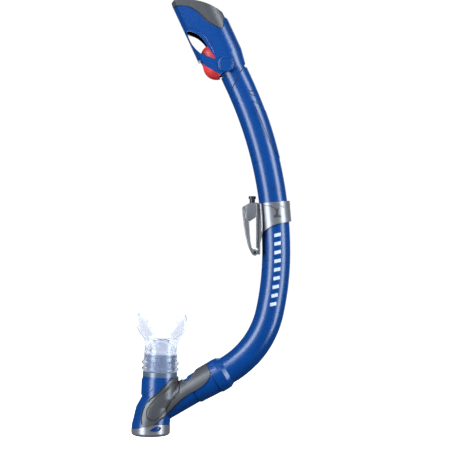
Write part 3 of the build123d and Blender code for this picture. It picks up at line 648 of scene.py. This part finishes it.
# %% [markdown]
# ## The print
#
# Print on such a tube is pad-printed ink. Here it is a plain row of slanted white bars, the
# kind of ladder that marks a grip and says nothing. It could be a mask in the material, but a
# thin panel keeps its crisp edge when the model is exported. The bars stay very thin, because
# the keeper's liner slides over the upper ones.

# %% A ladder of slanted bars
BAR_COUNT = 9
BAR_PITCH = 8.6
BAR_TOP_Z = 2.6
BAR_HEIGHT = 3.4
BAR_HALF_WIDTH = 3.2
BAR_SLANT = 1.4
BAR_SHIFT = 0.8
BAR_THICKNESS = 0.08


def tube_centre_x(z):
    """Where the tube's middle is, in millimetres, at a height below the collar."""
    apex_x, apex_z, bend = 23.5, -17.0, 280.0
    return apex_x - bend + math.sqrt(bend ** 2 - min(z - apex_z, 0.0) ** 2)


bars = []
for count in range(BAR_COUNT):
    z = BAR_TOP_Z - count * BAR_PITCH
    x = tube_centre_x(z) + BAR_SHIFT
    corners = [(x - BAR_HALF_WIDTH, z - BAR_SLANT), (x + BAR_HALF_WIDTH, z),
               (x + BAR_HALF_WIDTH, z - BAR_HEIGHT),
               (x - BAR_HALF_WIDTH, z - BAR_SLANT - BAR_HEIGHT)]
    bars.append(panel("bar_%d" % (count + 1), corners, TUBE_SKIN, BAR_THICKNESS, "tube",
                      PRINT, smooth=False, rise=0.0))
print("bars:", len(bars))

# %% [markdown]
# ## The keeper
#
# The strap clip is two castings: a frame with a block under the button and a back plate in
# shade, painted as a darker strip, and a gate that swings down. Each has a cheek plate on
# either side. They could be laid on as thin panels, but the castings' sides are stepped, so a
# panel would break over the edges, and a slab stays flat. The collar has two shallow swept
# grooves and a small finger dent, whose shade is painted in darker silver, and a bright rib
# where the clip's plate meets the tube.

# %% Cheek plates of the clip
CLIP_SIDE = 14.0
CHEEK_DEPTH = 1.2
CHEEK_SOFTNESS = 0.55
BLOCK = [(-8.2, 28.4), (-5.6, 30.3), (-1.6, 31.3), (3.2, 31.3), (4.0, 27.0), (3.8, 20.8),
         (1.8, 17.0), (-3.2, 13.8), (-6.6, 15.6), (-7.0, 22.0)]
GATE_CHEEK = [(-10.3, 25.8), (-8.4, 25.9), (-7.6, 17.2), (-3.8, 12.6), (-3.4, 4.0),
              (-2.6, -6.0), (-1.2, -12.4), (-2.6, -14.2), (-4.6, -10.8), (-7.2, -1.0),
              (-9.1, 10.0)]
for name, outline, body, rise in [("clip_block_cheek", BLOCK, "keeper", 0.5),
                                  ("gate_cheek", GATE_CHEEK, "gate", 0.1)]:
    cheek = slab(name, outline, -CLIP_SIDE - rise, -CLIP_SIDE + CHEEK_DEPTH, CHEEK_SOFTNESS)
    mirror_across(cheek)
    face_outwards(cheek)
    finish_piece(cheek, name, body, SILVER)
print("cheek plates done")

# %% Shade, rib and grooves of the clip
# Painted shade: the back plate's shadow is a thin dark panel.
panel("plate_shade",
      [(4.9, 30.8), (6.3, 30.6), (6.2, 12.0), (5.6, -8.0), (4.7, -13.0), (4.5, -4.0),
       (4.5, 10.0), (4.7, 20.0)],
      KEEPER_SKIN, 0.12, "keeper", SHADE_SILVER)
bead("collar_rib", [(7.1, 31.8), (7.7, 24.0), (8.4, 15.0), (8.8, 8.0), (8.2, 3.5)],
     KEEPER_SKIN, 0.55, "keeper", SILVER)
# Painted shade: the two grooves are dark beads, not cut into the collar.
bead("collar_groove_left", [(9.5, 29.3), (13.5, 29.4), (17.5, 28.5), (21.2, 26.6)],
     KEEPER_SKIN, 0.3, "keeper", SHADE_SILVER)
bead("collar_groove_right", [(24.6, 30.2), (27.6, 28.8), (30.8, 27.4)],
     KEEPER_SKIN, 0.3, "keeper", SHADE_SILVER)
# Painted shade: the finger dent is a dark raised patch, not a hollow.
panel("collar_dent",
      [(21.4, 26.8), (23.6, 25.8), (25.4, 27.4), (24.9, 24.0), (25.2, 20.4), (27.9, 18.4),
       (23.8, 17.6), (20.2, 17.9), (22.4, 21.4), (22.4, 24.4)],
      KEEPER_SKIN, 0.16, "keeper", SHADE_SILVER)
print("keeper pieces done")

# %% [markdown]
# ## The lower chamber
#
# The soft grey skin is bonded over the blue chamber, and the shade along its border is painted
# as a fine dark line. The raised oval in it has a groove round it, its shade painted dark, and a
# second, finer ridge inside. The neck has a crease across it, also painted dark as shade, and
# the sleeve on the arm a short moulded ridge. They could be edges picked from the design's own
# mesh, but that mesh is loose triangles, so they are drawn and laid on like the others.

# %% Border lines of the skin and the oval
INLAY = [(-77.1, -147.2), (-89.2, -156.9), (-101.8, -168.4), (-105.4, -177.6),
         (-100.2, -183.0), (-91.8, -178.8), (-80.9, -163.9), (-73.9, -150.6)]


def drawn_in(outline, share):
    """The same outline, smaller about its own middle."""
    middle_x = sum(x for x, _ in outline) / len(outline)
    middle_z = sum(z for _, z in outline) / len(outline)
    return [(middle_x + (x - middle_x) * share, middle_z + (z - middle_z) * share)
            for x, z in outline]


# Painted shade: the groove round the oval is a dark bead.
bead("inlay_groove", drawn_in(INLAY, 1.02), TUBE_SKIN, 0.42, "tube", SEAM_SHADE,
     closed=True)
bead("inlay_ridge", drawn_in(INLAY, 0.84), TUBE_SKIN, 0.3, "tube", GREY,
     closed=True)
# Painted shade: the skin's border is a dark bead for the shadow of its step.
bead("skin_border_left",
     [(-85.6, -147.6), (-94.4, -156.0), (-103.0, -163.9), (-108.4, -171.5), (-110.8, -180.0),
      (-110.4, -187.6)],
     TUBE_SKIN, 0.5, "tube", SEAM_SHADE, rise=0.3)
bead("skin_border_right",
     [(-96.9, -186.9), (-89.5, -181.2), (-82.3, -174.9), (-75.0, -167.6), (-67.5, -160.6)],
     TUBE_SKIN, 0.5, "tube", SEAM_SHADE, rise=0.3)
# Painted shade: the neck crease is a dark bead.
bead("neck_crease", [(-107.6, -159.0), (-103.4, -156.2), (-99.4, -152.4)],
     TUBE_SKIN, 0.26, "tube", SEAM_SHADE)
bead("sleeve_ridge", [(-49.9, -154.6), (-50.5, -160.0), (-51.6, -165.0)],
     TUBE_SKIN, 0.45, "tube", BLUE)
print("chamber lines done")

# %% [markdown]
# ## The mouthpiece
#
# A mouthpiece is one soft moulding: a sleeve with two clamp beads over the spigot, a neck
# whose channel narrows to an oval, and a thin flange that lies between lips and gums, curved
# like the teeth. Two pads stand inside the flange for biting. It could be sculpted, but
# every section of it is a plain oval, so it is grown from one circle: extruded ring by ring
# up the outside, out over the flange's face, round its rim, back over the other face and
# down the channel, until the last ring meets the first and the two are bridged. Then the
# flange is rolled up along the dental arch, and Subdivision softens it all.

# %% The neck's own frame
NECK_FOOT = Vector((-93.3, 0.0, -141.5)) * MM
NECK_LEAN = math.radians(2.4)
NECK_UP = Vector((math.sin(NECK_LEAN), 0.0, math.cos(NECK_LEAN)))
NECK_ACROSS = Vector((math.cos(NECK_LEAN), 0.0, -math.sin(NECK_LEAN)))
RING_VERTICES = 56

# %% The rings: half width across the mouth, half width front to back, height
BEAD_PROFILE = [(17.0, -2.0), (18.5, -1.3), (19.0, 0.0), (18.5, 1.3), (17.0, 2.0)]
BEAD_HEIGHTS = (7.4, 13.2)
outside = [(r, r, height + rise) for height in BEAD_HEIGHTS for r, rise in BEAD_PROFILE]
outside += [(16.8, 16.8, 19.0), (16.6, 16.5, 24.0), (16.4, 15.6, 28.5), (16.4, 14.4, 32.5)]

FLANGE_S = 36.2
FLANGE_WALL = 2.2
FLANGE_OVALS = [(18.2, 13.4), (21.0, 12.9), (25.0, 12.7), (29.5, 12.8), (34.0, 12.9),
                (38.2, 12.9), (40.4, 12.5)]
RIM_OVAL = (41.2, 12.2)
INNER_OVALS = FLANGE_OVALS[::-1] + [(14.5, 10.8), (11.0, 8.0)]
plate = [(x, y, FLANGE_S - FLANGE_WALL) for x, y in FLANGE_OVALS]
plate += [(*RIM_OVAL, FLANGE_S - FLANGE_WALL / 2)]
plate += [(x, y, FLANGE_S) for x, y in INNER_OVALS]

channel = [(9.6, 6.6, 35.2), (9.4, 6.4, 33.0), (10.4, 7.8, 29.5), (12.6, 11.2, 26.2),
           (14.9, 14.7, 23.6), (15.6, 15.6, 22.6), (15.6, 15.6, 14.0), (15.6, 15.6, 5.6),
           (16.3, 16.3, 5.1)]
rings = outside + plate + channel
print("rings:", len(rings))

# %% Grow it ring by ring
deselect_all()
bpy.ops.mesh.primitive_circle_add(vertices=RING_VERTICES, radius=rings[0][0] * MM,
                                  location=(0, 0, rings[0][2] * MM))
mouthpiece = bpy.context.object
bpy.ops.object.transform_apply(location=True, rotation=True, scale=True)
edit(mouthpiece)
for (a0, b0, s0), (a1, b1, s1) in zip(rings, rings[1:]):
    bpy.ops.mesh.extrude_region_move(
        TRANSFORM_OT_translate={"value": (0.0, 0.0, (s1 - s0) * MM)})
    bpy.ops.transform.resize(value=(a1 / a0, b1 / b0, 1.0),
                             center_override=(0.0, 0.0, s1 * MM))
bpy.ops.object.mode_set(mode="OBJECT")
last_ring = len(mouthpiece.data.vertices) - RING_VERTICES
for vertex in mouthpiece.data.vertices:
    vertex.select = vertex.index < RING_VERTICES or vertex.index >= last_ring
bpy.ops.object.mode_set(mode="EDIT")
bpy.ops.mesh.select_mode(type="EDGE")
bpy.ops.mesh.bridge_edge_loops()
bpy.ops.object.mode_set(mode="OBJECT")
print("grown:", len(mouthpiece.data.vertices), "vertices")

# %% [markdown]
# The plate's far rings are squared off, so that the wings end in broad rounded lobes, and
# then every point of the plate is moved along the arch, keeping its height over the plate.
# The arch's slope grows slowly at first and faster towards the molars, until the wings
# stand straight up. A Simple Deform bend would give a plain circle, and no operator follows
# such a curve, so here the points are moved in code.

# %% Roll the flange up along the dental arch
ARCH_LENGTH = 33.0
ARCH_POWER = 1.4
ARCH_STEPS = 60
ARCH_END_SLOPE = math.radians(94.0)
SQUARE_FROM, SQUARE_TO, SQUARING = 18.0, 41.0, 0.42


def along_arch(distance, height):
    """Across and up, in millimetres, at a distance along the arch and a height over it."""
    across = up = slope = 0.0
    step = abs(distance) / ARCH_STEPS
    for count in range(ARCH_STEPS):
        here = min((count + 0.5) * step / ARCH_LENGTH, 1.0)
        slope = ARCH_END_SLOPE * here ** ARCH_POWER
        across += math.cos(slope) * step
        up += math.sin(slope) * step
    across -= height * math.sin(slope)
    return math.copysign(across, distance), up + height * math.cos(slope)


def squared(share, power):
    """A cosine or sine drawn out, so that an oval turns towards a rounded rectangle."""
    return math.copysign(abs(share) ** power, share)


for vertex in mouthpiece.data.vertices:
    place = vertex.co / MM
    ring_number = min(vertex.index // RING_VERTICES, len(rings) - 1)
    if len(outside) <= ring_number < len(outside) + len(plate):
        half_x, half_y, height = rings[ring_number]
        turn = math.atan2(place.y / half_y, place.x / half_x)
        far = min(max((half_x - SQUARE_FROM) / (SQUARE_TO - SQUARE_FROM), 0.0), 1.0)
        power = 1.0 - SQUARING * far
        across, up = along_arch(half_x * squared(math.cos(turn), power), height - FLANGE_S)
        place = Vector((across, half_y * squared(math.sin(turn), power), FLANGE_S + up))
    vertex.co = NECK_FOOT + (NECK_ACROSS * place.x + Vector((0, place.y, 0))
                             + NECK_UP * place.z) * MM

face_outwards(mouthpiece)
apply_modifier(mouthpiece, "SUBSURF", levels=1, render_levels=1)
print("flange rolled:", len(mouthpiece.data.polygons), "faces")

# %% [markdown]
# Each bite pad is a block held between the teeth. It could be extruded from the flange, but
# the flange is already curved there, so a slab is drawn in the side view and extruded across
# the mouth. The pads are joined to the flange they stand in. The clear rubber casts no
# shadow, because the light that reaches the spigot goes through it.

# %% The bite pads
PAD = [(22.4, 59.6), (14.4, 57.6), (13.8, 51.6), (8.8, 44.6), (10.6, 39.6), (14.0, 39.6),
       (20.4, 45.2), (22.8, 53.0)]
PAD_HALF = 4.5
PAD_SOFTNESS = 1.2


def bite_pad(hand):
    """One pad; hand is 1 for the side towards the tube and -1 for the other."""
    corners = []
    for x, s in PAD:
        place = NECK_FOOT / MM + NECK_ACROSS * (x * hand) + NECK_UP * s
        corners.append((place.x, place.z))
    return slab("bite_pad", corners, -PAD_HALF, PAD_HALF, PAD_SOFTNESS,
                smooth=True)


pads = [bite_pad(1), bite_pad(-1)]
only(mouthpiece)
for pad in pads:
    pad.select_set(True)
bpy.ops.object.join()
finish_piece(mouthpiece, "clear_mouthpiece", "mouthpiece", CLEAR,
             replaces=["mouthpiece"])
mouthpiece.visible_shadow = False
print("mouthpiece:", len(mouthpiece.data.polygons), "faces")

# %% Remove the working skins
for skin in (TUBE_SKIN, KEEPER_SKIN):
    bpy.data.objects.remove(skin)
